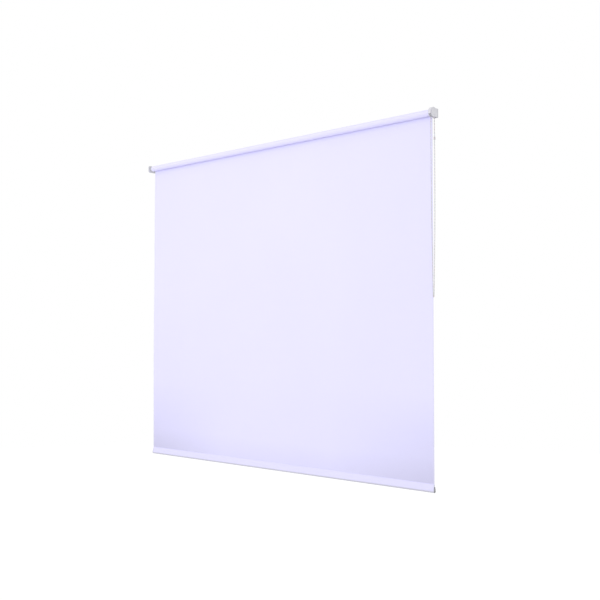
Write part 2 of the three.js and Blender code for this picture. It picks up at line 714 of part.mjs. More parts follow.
function railEndCap() {
  const { thickness, height, proud, top, plugRadius, plugLength } = RAIL_CAP;
  const face = dropOutline(new THREE.Shape(), HEM.foot + proud, top, -DROP + height - top);
  const start = HALF_WIDTH + GAP;
  const plate = alongX(face, start, start + thickness, 12);
  const plugShape = new THREE.Shape();
  plugShape.absarc(SHEET_Y - AXIS_Y, HEM_FOOT_Z, plugRadius, 0, 2 * Math.PI, false);
  const plug = alongX(plugShape, start - plugLength, start + thickness / 2, 12);
  return joined(plate, plug);
}

// ---- Assembly ----
const SPRING_ROW = BRAKE_SPRING.turns * BRAKE_SPRING.pitch;
const FIRST_SPRING_X = SLEEVE_END_X + SLEEVE.endWall + BRAKE_SPRING.firstFromWall;
const SECOND_SPRING_X = FIRST_SPRING_X + SPRING_ROW + BRAKE_SPRING.apart;

const PIECES = [
  ['control_bracket', controlBracket(), PAINTED_STEEL()],
  ['idle_bracket', idleBracket(), PAINTED_STEEL()],
  ['control_hub', controlHub(), WHITE_PLASTIC()],
  ['chain_guard', chainGuard(), WHITE_PLASTIC()],
  ['chain_wheel', chainWheel(), WHITE_PLASTIC()],
  ['brake_spring_inner', brakeSpring(FIRST_SPRING_X), SPRING_STEEL()],
  ['brake_spring_outer', brakeSpring(SECOND_SPRING_X), SPRING_STEEL()],
  ['drive_sleeve', driveSleeve(), WHITE_PLASTIC()],
  ['retaining_washer', retainingWasher(), ZINC_STEEL()],
  ['retaining_screw', retainingScrew(), ZINC_STEEL()],
  ['roller_tube', rollerTube(), ALUMINIUM()],
  ['fabric_tape', fabricTape(), TAPE_FILM()],
  ['fabric_roll', fabricRoll(), FABRIC()],
  ['fabric_sheet', fabricSheet(), FABRIC()],
  ['hem_pocket', hemPocket(), FABRIC()],
  ['bottom_rail', bottomRail(), ALUMINIUM()],
  ['rail_end_cap_right', railEndCap(), CAP_PLASTIC()],
  ['rail_end_cap_left', mirroredInX(railEndCap()), CAP_PLASTIC()],
  ['idle_end_plug', idleEndPlug(), WHITE_PLASTIC()],
  ['idle_pin', idlePin(), ZINC_STEEL()],
  ['idle_pin_spring', idlePinSpring(), SPRING_STEEL()],
  ['pin_spring_stop', springStop(), WHITE_PLASTIC()],
  ['bead_chain', chainLoop(), CHAIN_PLASTIC()],
  ['bead_chain_over_wheel', chainOverWheel(), CHAIN_PLASTIC()],
  ['chain_connector', chainConnector(), CHAIN_PLASTIC()],
];

const blind = new THREE.Group();
blind.position.set(-FLANGE_X, 0, -FLANGE_Z);
for (const [name, geometry, material] of PIECES) {
  const mesh = new THREE.Mesh(geometry, material);
  mesh.name = name;
  blind.add(mesh);
}

const assembly = new THREE.Group();
assembly.add(blind);

export default assembly;
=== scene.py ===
"""Looks of the chain-operated roller blind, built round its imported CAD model.

Everything is in metres in the CAD model's own frame: X along the roller, Y into the wall, Z up.
Sizes of small details are written as a number times MM.
"""

import json
import math

import bmesh
import bpy
import numpy as np
from mathutils import Matrix, Vector


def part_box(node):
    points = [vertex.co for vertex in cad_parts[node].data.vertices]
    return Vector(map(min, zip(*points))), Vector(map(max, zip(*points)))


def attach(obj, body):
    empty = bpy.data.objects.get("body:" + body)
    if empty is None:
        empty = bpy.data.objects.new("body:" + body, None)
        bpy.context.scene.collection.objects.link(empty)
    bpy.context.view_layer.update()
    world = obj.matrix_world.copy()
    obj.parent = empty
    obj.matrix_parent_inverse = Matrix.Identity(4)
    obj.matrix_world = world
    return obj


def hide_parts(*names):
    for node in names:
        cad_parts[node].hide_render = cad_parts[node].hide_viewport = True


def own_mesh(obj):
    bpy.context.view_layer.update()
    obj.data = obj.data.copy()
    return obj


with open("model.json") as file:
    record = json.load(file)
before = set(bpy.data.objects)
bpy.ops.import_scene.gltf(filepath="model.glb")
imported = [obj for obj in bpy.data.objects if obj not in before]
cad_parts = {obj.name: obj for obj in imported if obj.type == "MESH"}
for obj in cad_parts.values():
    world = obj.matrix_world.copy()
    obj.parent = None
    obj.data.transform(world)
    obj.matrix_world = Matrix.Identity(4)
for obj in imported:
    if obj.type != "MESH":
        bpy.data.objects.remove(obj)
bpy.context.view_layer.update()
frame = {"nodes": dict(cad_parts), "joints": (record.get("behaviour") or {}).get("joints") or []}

MM = 0.001
CYCLIC_STEPS = 96
JOINTS = {joint["name"]: joint for joint in frame["joints"]}
AXIS = Vector(JOINTS["roller_spin"]["pos_m"])


def node_low(node):
    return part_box(node)[0]


def node_high(node):
    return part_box(node)[1]


# ---- Camera ----
CAMERA_PLACE = (2.1716, -3.032, -0.8854)
CAMERA_YAW = 43.956
CAMERA_PITCH = 2.222
CAMERA_LENS = 56.06
CAMERA_SENSOR = 36.0


def make_camera():
    data = bpy.data.cameras.new("camera")
    data.lens = CAMERA_LENS
    data.sensor_width = CAMERA_SENSOR
    data.clip_start = 0.05
    data.clip_end = 100
    camera = bpy.data.objects.new("camera", data)
    camera.location = CAMERA_PLACE
    camera.rotation_euler = (math.radians(90 + CAMERA_PITCH), 0, math.radians(CAMERA_YAW))
    bpy.context.scene.collection.objects.link(camera)
    bpy.context.scene.camera = camera


make_camera()


# ---- Materials ----
class Surface:
    """A Principled material whose colour, roughness and relief are built up from procedural patterns."""

    def __init__(self, name, colour, roughness, **settings):
        self.material = bpy.data.materials.new(name)
        self.material.use_nodes = True
        self.tree = self.material.node_tree
        self.shader = self.tree.nodes["Principled BSDF"]
        self.shader.inputs["Base Color"].default_value = (*colour, 1)
        self.shader.inputs["Roughness"].default_value = roughness
        for words, value in settings.items():
            self.shader.inputs[words.replace("_", " ").title().replace("Ior", "IOR")].default_value = value
        self.place = self.tree.nodes.new("ShaderNodeTexCoord").outputs["Object"]
        self.normal = None

    def node(self, kind, settings=(), **inputs):
        made = self.tree.nodes.new(kind)
        for word, value in dict(settings).items():
            setattr(made, word, value)
        for word, value in inputs.items():
            self.plug(value, made.inputs[word])
        return made

    def plug(self, value, socket):
        if isinstance(value, bpy.types.NodeSocket):
            self.tree.links.new(value, socket)
        else:
            socket.default_value = value

    def stretched(self, factors):
        return self.node("ShaderNodeMapping", Vector=self.place, Scale=factors).outputs["Vector"]

    def noise(self, size, factors=(1, 1, 1), detail=3.0):
        """Cloudy pattern from 0 to 1 whose lumps are about size metres across."""
        place = self.stretched(factors)
        return self.node("ShaderNodeTexNoise", Vector=place, Scale=1 / size, Detail=detail).outputs["Fac"]

    def stripes(self, direction, pitch):
        """Waves from 0 to 1 that repeat every pitch metres along X, Y or Z."""
        words = {"wave_type": "BANDS", "bands_direction": direction, "wave_profile": "SIN"}
        scale = math.tau / (20 * pitch)
        return self.node("ShaderNodeTexWave", words, Vector=self.place, Scale=scale).outputs["Fac"]

    def coordinate(self, axis):
        """The place along X, Y or Z in metres."""
        return self.node("ShaderNodeSeparateXYZ", Vector=self.place).outputs[axis]

    def maths(self, operation, first, second=0.0):
        made = self.node("ShaderNodeMath", {"operation": operation})
        self.plug(first, made.inputs[0])
        self.plug(second, made.inputs[1])
        return made.outputs["Value"]

    def ranged(self, pattern, low, high, start=0.3, end=0.7):
        words = {"From Min": start, "From Max": end, "To Min": low, "To Max": high}
        return self.node("ShaderNodeMapRange", Value=pattern, **words).outputs["Result"]

    def tint(self, pattern, colour, start=0.3, end=0.7, most=1.0):
        """Turns the colour so far towards colour where pattern is high."""
        socket = self.shader.inputs["Base Color"]
        before = socket.links[0].from_socket if socket.links else tuple(socket.default_value)
        mix = self.node("ShaderNodeMix", {"data_type": "RGBA"})
        self.plug(self.ranged(pattern, 0, most, start, end), mix.inputs["Factor"])
        self.plug(before, mix.inputs[6])
        self.plug((*colour, 1), mix.inputs[7])
        self.tree.links.new(mix.outputs[2], socket)

    def vary_roughness(self, pattern, low, high):
        self.tree.links.new(self.ranged(pattern, low, high), self.shader.inputs["Roughness"])

    def relief(self, pattern, depth, strength=1.0):
        """Adds a bump of that depth in metres to the ones before."""
        bump = self.node("ShaderNodeBump", Height=pattern, Distance=depth, Strength=strength)
        if self.normal is not None:
            self.tree.links.new(self.normal, bump.inputs["Normal"])
        self.normal = bump.outputs["Normal"]
        self.tree.links.new(self.normal, self.shader.inputs["Normal"])


def scaled(colour, factor):
    return tuple(channel * factor for channel in colour)


def fabric_material():
    colour = (0.71, 0.692, 0.94)
    surface = Surface("fabric", colour, 0.85, sheen_weight=0.12, sheen_roughness=0.45,
                      specular_ior_level=0.2)
    thread = 0.55 * MM
    over_under = surface.maths(
        "MULTIPLY", surface.stripes("X", 2 * thread), surface.stripes("Z", 2 * thread))
    ribs = surface.maths("MAXIMUM", surface.stripes("X", thread), surface.stripes("Z", thread))
    slubs = surface.noise(40 * MM, (1, 1, 28), 4)
    warp_shades = surface.noise(60 * MM, (24, 1, 1), 4)
    surface.tint(surface.noise(0.45, detail=2), scaled(colour, 0.98), most=0.9)
    surface.tint(slubs, scaled(colour, 0.965), 0.45, 0.8, 0.5)
    surface.tint(warp_shades, scaled(colour, 0.97), 0.45, 0.8, 0.5)
    surface.tint(over_under, scaled(colour, 0.94), 0.0, 0.6, 0.5)
    surface.vary_roughness(slubs, 0.8, 0.92)
    surface.relief(ribs, 0.05 * MM, 0.5)
    surface.relief(over_under, 0.07 * MM, 0.6)
    surface.relief(slubs, 0.12 * MM, 0.4)
    paint_shade_on_fabric(surface, colour)
    return surface.material


def paint_shade_on_fabric(surface, colour):
    """Painted shade by place: darker above the hem and in its lower corners, and grey on the hem's underside
    and along the cut edges. The hem itself is a little darker.
    """
    left, right = node_low("fabric_sheet").x, node_high("fabric_sheet").x
    hem_low, hem_high = node_low("hem_pocket").z, node_high("hem_pocket").z
    height = surface.coordinate("Z")
    off_middle = surface.maths(
        "ABSOLUTE", surface.maths("SUBTRACT", surface.coordinate("X"), (left + right) / 2))
    above_hem = surface.ranged(height, 0, 1, hem_high - 3 * MM, hem_high + 3 * MM)
    near_hem = surface.ranged(height, 1, 0, hem_high, hem_high + 0.1)
    near_corner = surface.maths(
        "MULTIPLY", surface.ranged(height, 1, 0, hem_high, hem_high + 0.35),
        surface.ranged(off_middle, 0, 1, 0.35, 0.9))
    # Painted shade above the hem and in the fabric's lower corners.
    painted_shade = surface.maths("ADD", surface.maths("MULTIPLY", near_hem, 0.45), near_corner)
    surface.tint(surface.maths("MULTIPLY", painted_shade, above_hem), scaled(colour, 0.77), 0, 1.45)
    surface.tint(surface.maths("SUBTRACT", 1, above_hem), scaled(colour, 0.955), 0, 1)
    # Painted shade on the underside of the hem, which faces down.
    surface.tint(surface.ranged(height, 1, 0, hem_low + 4 * MM, hem_low + 10 * MM),
                 (0.53, 0.525, 0.61), 0, 1)
    # Painted shade along the cut side edges.
    half = (right - left) / 2
    surface.tint(off_middle, (0.62, 0.62, 0.74), half - 6 * MM, half - 3 * MM, 0.6)


def moulded_plastic(name, colour, roughness, grain, wear, **settings):
    """Plastic with a fine spark-eroded grain, slow flow marks and a little grime."""
    surface = Surface(name, colour, roughness, **settings)
    flow = surface.noise(14 * MM, (1, 1, 2.5), 3)
    specks = surface.noise(1.1 * MM, detail=2)
    grime = surface.noise(5 * MM, (1, 1, 0.5), 6)
    surface.tint(flow, scaled(colour, 1 - wear))
    surface.tint(specks, scaled(colour, 0.94), 0.6, 0.85, 0.6)
    surface.tint(grime, scaled(colour, 0.8), 0.6, 0.85, 0.5)
    surface.vary_roughness(flow, roughness - 0.06, roughness + 0.08)
    surface.relief(surface.noise(0.28 * MM, detail=2), grain, 0.6)
    surface.relief(flow, 0.06 * MM, 0.3)
    return surface.material


def powder_coat():
    colour = (0.66, 0.66, 0.70)
    surface = Surface("powder_coat", colour, 0.42, coat_weight=0.15, coat_roughness=0.3)
    peel = surface.noise(1.6 * MM, detail=2)
    scuffs = surface.noise(3 * MM, (1, 6, 1), 5)
    surface.tint(surface.noise(20 * MM), scaled(colour, 0.94))
    # Painted shade: the brackets are darker towards the wall.
    surface.tint(surface.coordinate("Y"), scaled(colour, 0.7), -12 * MM, -1 * MM, 0.8)
    surface.tint(scuffs, scaled(colour, 0.78), 0.62, 0.8, 0.6)
    surface.vary_roughness(peel, 0.36, 0.5)
    surface.relief(peel, 0.05 * MM, 0.5)
    return surface.material


def brushed_metal(name, colour, roughness, along, pitch=0.35 * MM):
    """Metal with fine lines along one axis, light stains and a varying gloss."""
    surface = Surface(name, colour, roughness, metallic=1.0)
    lines = surface.noise(pitch, tuple(0.03 if axis == along else 1 for axis in "XYZ"), 2)
    stains = surface.noise(9 * MM, detail=5)
    surface.tint(lines, scaled(colour, 0.85))
    surface.tint(stains, scaled(colour, 0.72), 0.5, 0.8, 0.6)
    surface.vary_roughness(stains, roughness - 0.06, roughness + 0.14)
    surface.relief(lines, 0.02 * MM, 0.4)
    return surface.material


def tape_material():
    colour = (0.80, 0.76, 0.62)
    surface = Surface("tape_film", colour, 0.35, transmission_weight=0.1)
    bubbles = surface.noise(4 * MM, detail=4)
    surface.tint(bubbles, scaled(colour, 0.85), 0.55, 0.75)
    surface.vary_roughness(bubbles, 0.25, 0.5)
    surface.relief(bubbles, 0.05 * MM, 0.5)
    return surface.material


MATERIALS = {
    "blind_fabric": fabric_material(),
    "white_plastic": moulded_plastic("white_plastic", (0.65, 0.64, 0.695), 0.42, 0.03 * MM, 0.06),
    "chain_plastic": moulded_plastic("chain_plastic", (0.57, 0.57, 0.59), 0.3, 0.01 * MM, 0.05,
                                     subsurface_weight=0.15, subsurface_scale=1 * MM),
    "cap_plastic": moulded_plastic("cap_plastic", (0.27, 0.27, 0.29), 0.5, 0.04 * MM, 0.08),
    "bracket_steel": powder_coat(),
    "aluminium": brushed_metal("aluminium", (0.72, 0.73, 0.75), 0.32, "X"),
    "spring_steel": brushed_metal("spring_steel", (0.40, 0.41, 0.43), 0.3, "Z", 0.2 * MM),
    "zinc_steel": brushed_metal("zinc_steel", (0.55, 0.56, 0.58), 0.35, "Y", 0.3 * MM),
    "tape_film": tape_material(),
}


# ---- Mesh helpers ----
def add_piece(name, mesh, slot, body, *nodes, crisp=None):
    """Makes a mesh a piece that rides on body, with the finish of slot, in place of the CAD nodes.
    crisp is the angle in degrees above which an edge is drawn sharp."""
    mesh.name = name
    mesh.materials.clear()
    mesh.materials.append(MATERIALS[slot])
    mesh.polygons.foreach_set("use_smooth", [True] * len(mesh.polygons))
    mesh.polygons.foreach_set("material_index", [0] * len(mesh.polygons))
    if crisp is not None:
        mesh.set_sharp_from_angle(angle=math.radians(crisp))
    made = bpy.data.objects.new(name, mesh)
    bpy.context.scene.collection.objects.link(made)
    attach(made, body)
    if nodes:
        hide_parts(*nodes)
    return made


def keep_faces_flat(piece):
    """Shades the flat faces of a piece flat, up to its rounded edges."""
    piece.modifiers.new("flat faces", "WEIGHTED_NORMAL").keep_sharp = True
    return piece


def mesh_of(vertices, faces):
    mesh = bpy.data.meshes.new("mesh")
    mesh.from_pydata([tuple(map(float, v)) for v in vertices], [], [tuple(map(int, f)) for f in faces])
    mesh.update()
    return mesh


def joined(meshes):
    """One mesh from several."""
    shape = bmesh.new()
    for mesh in meshes:
        shape.from_mesh(mesh)
        bpy.data.meshes.remove(mesh)
    whole = bpy.data.meshes.new("joined")
    shape.to_mesh(whole)
    shape.free()
    return whole


def rounded(corners, steps=4):
    """Closed outline through (x, y, radius) corners, each turned in an arc of its own radius."""
    points = []
    for i, (x, y, radius) in enumerate(corners):
        here = np.array([x, y], float)
        if radius <= 0:
            points.append(here)
            continue
        before = np.array(corners[i - 1][:2], float) - here
        after = np.array(corners[(i + 1) % len(corners)][:2], float) - here
        before /= np.linalg.norm(before)
        after /= np.linalg.norm(after)
        half = math.acos(max(-1, min(1, float(before @ after)))) / 2
        middle = before + after
        centre = here + middle / np.linalg.norm(middle) * radius / math.sin(half)
        start = here + before * radius / math.tan(half) - centre
        end = here + after * radius / math.tan(half) - centre
        turn = math.atan2(start[0] * end[1] - start[1] * end[0], float(start @ end))
        for step in range(steps + 1):
            angle = turn * step / steps
            cos, sin = math.cos(angle), math.sin(angle)
            points.append(centre + (cos * start[0] - sin * start[1], sin * start[0] + cos * start[1]))
    return points


def lathe(corners, place=None, segments=CYCLIC_STEPS, steps=4):
    """Turns a closed outline of (radius, x, corner radius) about the X axis, then puts it at place,
    which is a matrix, or else on the roller's axis."""
    outline = rounded([(x, radius, corner) for radius, x, corner in corners], steps)
    shape = bmesh.new()
    rings = []
    for i in range(segments):
        angle = math.tau * i / segments
        cos, sin = math.cos(angle), math.sin(angle)
        rings.append([shape.verts.new((x, radius * cos, radius * sin)) for x, radius in outline])
    for i in range(segments):
        ring, following = rings[i], rings[(i + 1) % segments]
        for j in range(len(outline)):
            k = (j + 1) % len(outline)
            shape.faces.new((ring[j], following[j], following[k], ring[k]))
    bmesh.ops.remove_doubles(shape, verts=shape.verts, dist=0.001 * MM)
    bmesh.ops.dissolve_degenerate(shape, edges=shape.edges, dist=0.0005 * MM)
    bmesh.ops.recalc_face_normals(shape, faces=shape.faces)
    mesh = bpy.data.meshes.new("lathe")
    shape.to_mesh(mesh)
    shape.free()
    mesh.transform(place or Matrix.Translation((0, AXIS.y, AXIS.z)))
    return mesh


def plate(outline, thickness, edge, holes=()):
    """Flat plate in XY about Z=0, with its edges rounded by edge. Outline and holes are in metres."""
    curve = bpy.data.curves.new("outline", "CURVE")
    curve.dimensions = "2D"
    curve.fill_mode = "BOTH"
    curve.extrude = thickness / 2 - edge
    curve.bevel_depth = edge
    curve.bevel_resolution = 2
    curve.offset = -edge
    for loop in [outline, *holes]:
        spline = curve.splines.new("POLY")
        spline.points.add(len(loop) - 1)
        for point, (x, y) in zip(spline.points, loop):
            point.co = (x, y, 0, 1)
        spline.use_cyclic_u = True
    holder = bpy.data.objects.new("outline", curve)
    bpy.context.scene.collection.objects.link(holder)
    bpy.context.view_layer.update()
    made = bpy.data.meshes.new_from_object(holder.evaluated_get(bpy.context.evaluated_depsgraph_get()))
    bpy.data.objects.remove(holder)
    shape = bmesh.new()
    shape.from_mesh(made)
    bmesh.ops.remove_doubles(shape, verts=shape.verts, dist=0.005 * MM)
    bmesh.ops.recalc_face_normals(shape, faces=shape.faces)
    shape.to_mesh(made)
    shape.free()
    return made


def cut_by(mesh, cutter):
    """The mesh with the cutter taken out of it."""
    holder = bpy.data.objects.new("holder", mesh)
    tool = bpy.data.objects.new("tool", cutter)
    bpy.context.scene.collection.objects.link(holder)
    bpy.context.scene.collection.objects.link(tool)
    modifier = holder.modifiers.new("cut", "BOOLEAN")
    modifier.operation = "DIFFERENCE"
    modifier.object = tool
    modifier.solver = "EXACT"
    bpy.context.view_layer.update()
    made = bpy.data.meshes.new_from_object(holder.evaluated_get(bpy.context.evaluated_depsgraph_get()))
    bpy.data.objects.remove(holder)
    bpy.data.objects.remove(tool)
    return made


def block(low, high):
    """Box mesh between two corners, for cutting with."""
    shape = bmesh.new()
    bmesh.ops.create_cube(shape, size=1)
    for vertex in shape.verts:
        vertex.co = [a + (b - a) * (c + 0.5) for a, b, c in zip(low, high, vertex.co)]
    mesh = bpy.data.meshes.new("block")
    shape.to_mesh(mesh)
    shape.free()
    return mesh


def tube_along(points, radius, sides=10):
    """Round tube of that radius along points, closed at both ends."""
    points = np.array(points, float)
    tangents = np.gradient(points, axis=0)
    tangents /= np.linalg.norm(tangents, axis=1)[:, None]
    across = np.cross(tangents[0], (0.31, 0.83, 0.46))
    vertices = []
    for point, tangent in zip(points, tangents):
        across = across - tangent * (across @ tangent)
        across /= np.linalg.norm(across)
        other = np.cross(tangent, across)
        for i in range(sides):
            angle = math.tau * i / sides
            vertices.append(point + radius * (math.cos(angle) * across + math.sin(angle) * other))
    faces = [tuple(reversed(range(sides)))]
    for ring in range(len(points) - 1):
        for i in range(sides):
            j = (i + 1) % sides
            faces.append((ring * sides + i, ring * sides + j, (ring + 1) * sides + j, (ring + 1) * sides + i))
    last = (len(points) - 1) * sides
    faces.append(tuple(last + i for i in range(sides)))
    return mesh_of(vertices, faces)


# ---- Bead chain ----
BEAD_DIAMETER = 4.5 * MM
BEAD_PITCH = 6 * MM
CORD_DIAMETER = 1.3 * MM
CHAIN_EXIT_BELOW_AXIS = 0.015
WHEEL_POCKETS = 13
CHAIN_X = (node_low("bead_chain_over_wheel").x + node_high("bead_chain_over_wheel").x) / 2

# The CAD model's route of the hanging loop, as offsets from the chain wheel's centre.
CHAIN_ROUTE = [
    (0.0000, 0.0124, -0.0150), (0.0000, 0.0124, -0.0400), (0.0001, 0.0124, -0.0900),
    (0.0003, 0.0124, -0.1600), (0.0005, 0.0123, -0.2400), (0.0005, 0.0121, -0.3200),
    (0.0003, 0.0118, -0.4000), (-0.0003, 0.0114, -0.4800), (-0.0013, 0.0109, -0.5550),
    (-0.0024, 0.0103, -0.6200), (-0.0033, 0.0099, -0.6750), (-0.0036, 0.0096, -0.6950),
    (-0.0038, 0.0095, -0.7090), (-0.0039, 0.0094, -0.7160), (-0.0039, 0.0093, -0.7209),
    (-0.0036, 0.0085, -0.7251), (-0.0025, 0.0064, -0.7286), (-0.0009, 0.0032, -0.7310),
    (0.0009, -0.0005, -0.7318), (0.0027, -0.0042, -0.7310), (0.0043, -0.0074, -0.7286),
    (0.0054, -0.0095, -0.7251), (0.0057, -0.0103, -0.7209), (0.0057, -0.0103, -0.7160),
    (0.0056, -0.0104, -0.7090), (0.0054, -0.0105, -0.6950), (0.0051, -0.0106, -0.6750),
    (0.0043, -0.0110, -0.6200), (0.0033, -0.0113, -0.5550), (0.0023, -0.0117, -0.4800),
    (0.0014, -0.0120, -0.4000), (0.0007, -0.0122, -0.3200), (0.0003, -0.0123, -0.2400),
    (0.0001, -0.0124, -0.1600), (0.0000, -0.0124, -0.0900), (0.0000, -0.0124, -0.0400),
    (0.0000, -0.0124, -0.0150),
]


def smooth_route(points, steps):
    """Centripetal Catmull-Rom curve through points, with that many steps between two of them."""
    points = np.array(points, float)
    first = 2 * points[0] - points[1]
    last = 2 * points[-1] - points[-2]
    points = np.vstack([first, points, last])
    made = []
    for i in range(1, len(points) - 2):
        p0, p1, p2, p3 = points[i - 1:i + 3]
        t0 = 0.0
        t1 = t0 + np.linalg.norm(p1 - p0) ** 0.5
        t2 = t1 + np.linalg.norm(p2 - p1) ** 0.5
        t3 = t2 + np.linalg.norm(p3 - p2) ** 0.5
        for step in range(steps):
            t = t1 + (t2 - t1) * step / steps
            a1 = (t1 - t) / (t1 - t0) * p0 + (t - t0) / (t1 - t0) * p1
            a2 = (t2 - t) / (t2 - t1) * p1 + (t - t1) / (t2 - t1) * p2
            a3 = (t3 - t) / (t3 - t2) * p2 + (t - t2) / (t3 - t2) * p3
            b1 = (t2 - t) / (t2 - t0) * a1 + (t - t0) / (t2 - t0) * a2
            b2 = (t3 - t) / (t3 - t1) * a2 + (t - t1) / (t3 - t1) * a3
            made.append((t2 - t) / (t2 - t1) * b1 + (t - t1) / (t2 - t1) * b2)
    made.append(points[-2])
    return np.array(made)


def lengths_along(points):
    return np.concatenate([[0], np.cumsum(np.linalg.norm(np.diff(points, axis=0), axis=1))])


def places_at(points, distances):
    """Points at those distances along a route."""
    along = lengths_along(points)
    return np.stack([np.interp(distances, along, points[:, axis]) for axis in range(3)], axis=1)


def beads_on(points, distances, sides=14, rings=9):
    """One mesh of round beads threaded on a thin cord that follows points."""
    centres = places_at(points, distances)
    ahead = places_at(points, np.array(distances) + 0.3 * MM)
    behind = places_at(points, np.array(distances) - 0.3 * MM)
    radius = BEAD_DIAMETER / 2
    vertices, faces = [], []
    for centre, tangent in zip(centres, ahead - behind):
        turn = Vector((0, 0, 1)).rotation_difference(Vector(tangent)).to_matrix()
        base = len(vertices)
        vertices.append(Vector(centre) + turn @ Vector((0, 0, -radius)))
        for ring in range(1, rings):
            polar = math.pi * ring / rings
            for side in range(sides):
                angle = math.tau * side / sides
                spot = Vector((
                    radius * math.sin(polar) * math.cos(angle),
                    radius * math.sin(polar) * math.sin(angle),
                    -radius * math.cos(polar),
                ))
                vertices.append(Vector(centre) + turn @ spot)
        vertices.append(Vector(centre) + turn @ Vector((0, 0, radius)))
        top = len(vertices) - 1
        for side in range(sides):
            other = (side + 1) % sides
            faces.append((base, base + 1 + other, base + 1 + side))
            for ring in range(rings - 2):
                low = base + 1 + ring * sides
                faces.append((low + side, low + other, low + sides + other, low + sides + side))
            low = base + 1 + (rings - 2) * sides
            faces.append((low + side, low + other, top))
    return joined([mesh_of(vertices, faces), tube_along(points, CORD_DIAMETER / 2, 6)])


WHEEL_CENTRE = np.array([CHAIN_X, AXIS.y, AXIS.z])
CHAIN_PITCH_RADIUS = WHEEL_POCKETS * BEAD_PITCH / math.tau


def hanging_chain():
    route = smooth_route(CHAIN_ROUTE, 12) + WHEEL_CENTRE
    length = lengths_along(route)[-1]
    first = (-CHAIN_EXIT_BELOW_AXIS / BEAD_PITCH % 1) * BEAD_PITCH
    spaces = round((length - first) / BEAD_PITCH)
    distances = [first + (length - first) * i / spaces for i in range(spaces)]
    chain = add_piece("hanging_bead_chain", beads_on(route, distances), "chain_plastic", "fixed",
                      "bead_chain")
    return chain, route, length


def chain_over_wheel():
    exit_z = -CHAIN_EXIT_BELOW_AXIS
    rear = [(0, CHAIN_PITCH_RADIUS, z) for z in np.linspace(exit_z, 0, 6)]
    front = [(0, -CHAIN_PITCH_RADIUS, z) for z in np.linspace(0, exit_z, 6)]
    arc = [
        (0, CHAIN_PITCH_RADIUS * math.cos(angle), CHAIN_PITCH_RADIUS * math.sin(angle))
        for angle in np.linspace(0, math.pi, 40)[1:-1]
    ]
    route = np.array(rear + arc + front) + WHEEL_CENTRE
    length = lengths_along(route)[-1]
    start = CHAIN_EXIT_BELOW_AXIS % BEAD_PITCH
    distances = np.arange(start, length - BEAD_PITCH / 4, BEAD_PITCH)
    return add_piece("bead_chain_on_wheel", beads_on(route, distances), "chain_plastic", "fixed",
                     "bead_chain_over_wheel")


def connector_barrel():
    low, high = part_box("chain_connector")
    radius = (high.x - low.x) / 2
    length = high.z - low.z
    bore = BEAD_DIAMETER / 2 + 0.3 * MM
    edge = 0.35 * MM
    profile = [
        (bore, 0, edge), (radius - 0.8 * MM, 0, edge), (radius, 1.4 * MM, edge),
        (radius, length / 2 - 0.6 * MM, 0.2 * MM), (radius - 0.35 * MM, length / 2 - 0.3 * MM, 0.1 * MM),
        (radius - 0.35 * MM, length / 2 + 0.3 * MM, 0.1 * MM), (radius, length / 2 + 0.6 * MM, 0.2 * MM),
        (radius, length - 1.4 * MM, edge), (radius - 0.8 * MM, length, edge), (bore, length, edge),
    ]
    centre = ((low.x + high.x) / 2, (low.y + high.y) / 2, low.z)
    upright = Matrix.Translation(centre) @ Matrix.Rotation(-math.pi / 2, 4, "Y")
    return add_piece("connector_barrel", lathe(profile, upright, 40, 3), "chain_plastic", "fixed",
                     "chain_connector")


chain, chain_path, chain_length = hanging_chain()
connector = connector_barrel()
chain_over_wheel()


# ---- Fabric ----
FABRIC_THICKNESS = 0.4 * MM
WINDING_PITCH = 0.48 * MM
WINDING_TURNS = 1.25
LEFT_EDGE = node_low("fabric_sheet").x
RIGHT_EDGE = node_high("fabric_sheet").x
SHEET_Y = (node_low("fabric_sheet").y + node_high("fabric_sheet").y) / 2
SHEET_TOP = AXIS.z
SHEET_BOTTOM = node_low("fabric_sheet").z
ROLL_RADIUS = SHEET_Y - AXIS.y


def stations(count, edge_zone=0.04, edge_count=14):
    """Places along X, close together near both edges of the fabric."""
    left = np.linspace(LEFT_EDGE, LEFT_EDGE + edge_zone, edge_count)[:-1]
    right = np.linspace(RIGHT_EDGE - edge_zone, RIGHT_EDGE, edge_count)[1:]
    return np.concatenate([left, np.linspace(LEFT_EDGE + edge_zone, RIGHT_EDGE - edge_zone, count), right])


def cloth(line, places, lift):
    """Fabric whose middle follows line, a list of (y, z), at each place along X. lift gives how far
    each point is pushed along its normal, from its X and its distance along the line."""
    line = np.array(line, float)
    slope = np.gradient(line, axis=0)
    slope /= np.linalg.norm(slope, axis=1)[:, None]
    normal = np.stack([np.zeros(len(line)), slope[:, 1], -slope[:, 0]], axis=1)
    middle = np.stack([np.zeros(len(line)), line[:, 0], line[:, 1]], axis=1)
    along = lengths_along(middle)
    x_grid, s_grid = np.meshgrid(places, along, indexing="ij")
    pushed = lift(x_grid, s_grid)[:, :, None] * normal[None]
    points = middle[None] + pushed
    points[:, :, 0] += x_grid
    front = points + normal[None] * FABRIC_THICKNESS / 2
    back = points - normal[None] * FABRIC_THICKNESS / 2
    loops = np.concatenate([front, back[:, ::-1]], axis=1)
    count, size = loops.shape[:2]
    faces = []
    for i in range(count - 1):
        for j in range(size):
            k = (j + 1) % size
            faces.append((i * size + j, i * size + k, (i + 1) * size + k, (i + 1) * size + j))
    for j in range(size // 2 - 1):
        mirror = size - 1 - j
        last = (count - 1) * size
        faces.append((j, mirror, mirror - 1, j + 1))
        faces.append((last + j, last + j + 1, last + mirror - 1, last + mirror))
    mesh = mesh_of(loops.reshape(-1, 3), faces)
    shape = bmesh.new()
    shape.from_mesh(mesh)
    bmesh.ops.recalc_face_normals(shape, faces=shape.faces)
    shape.to_mesh(mesh)
    shape.free()
    return mesh


def swell(values, centre, width):
    return np.exp(-(((values - centre) / width) ** 2))


SHEET_LENGTH = SHEET_TOP - SHEET_BOTTOM
WAVES_FULL_FROM = 0.16  # share of the drop below which the waves are at full height
EDGE_CURL_WIDTH = 0.03


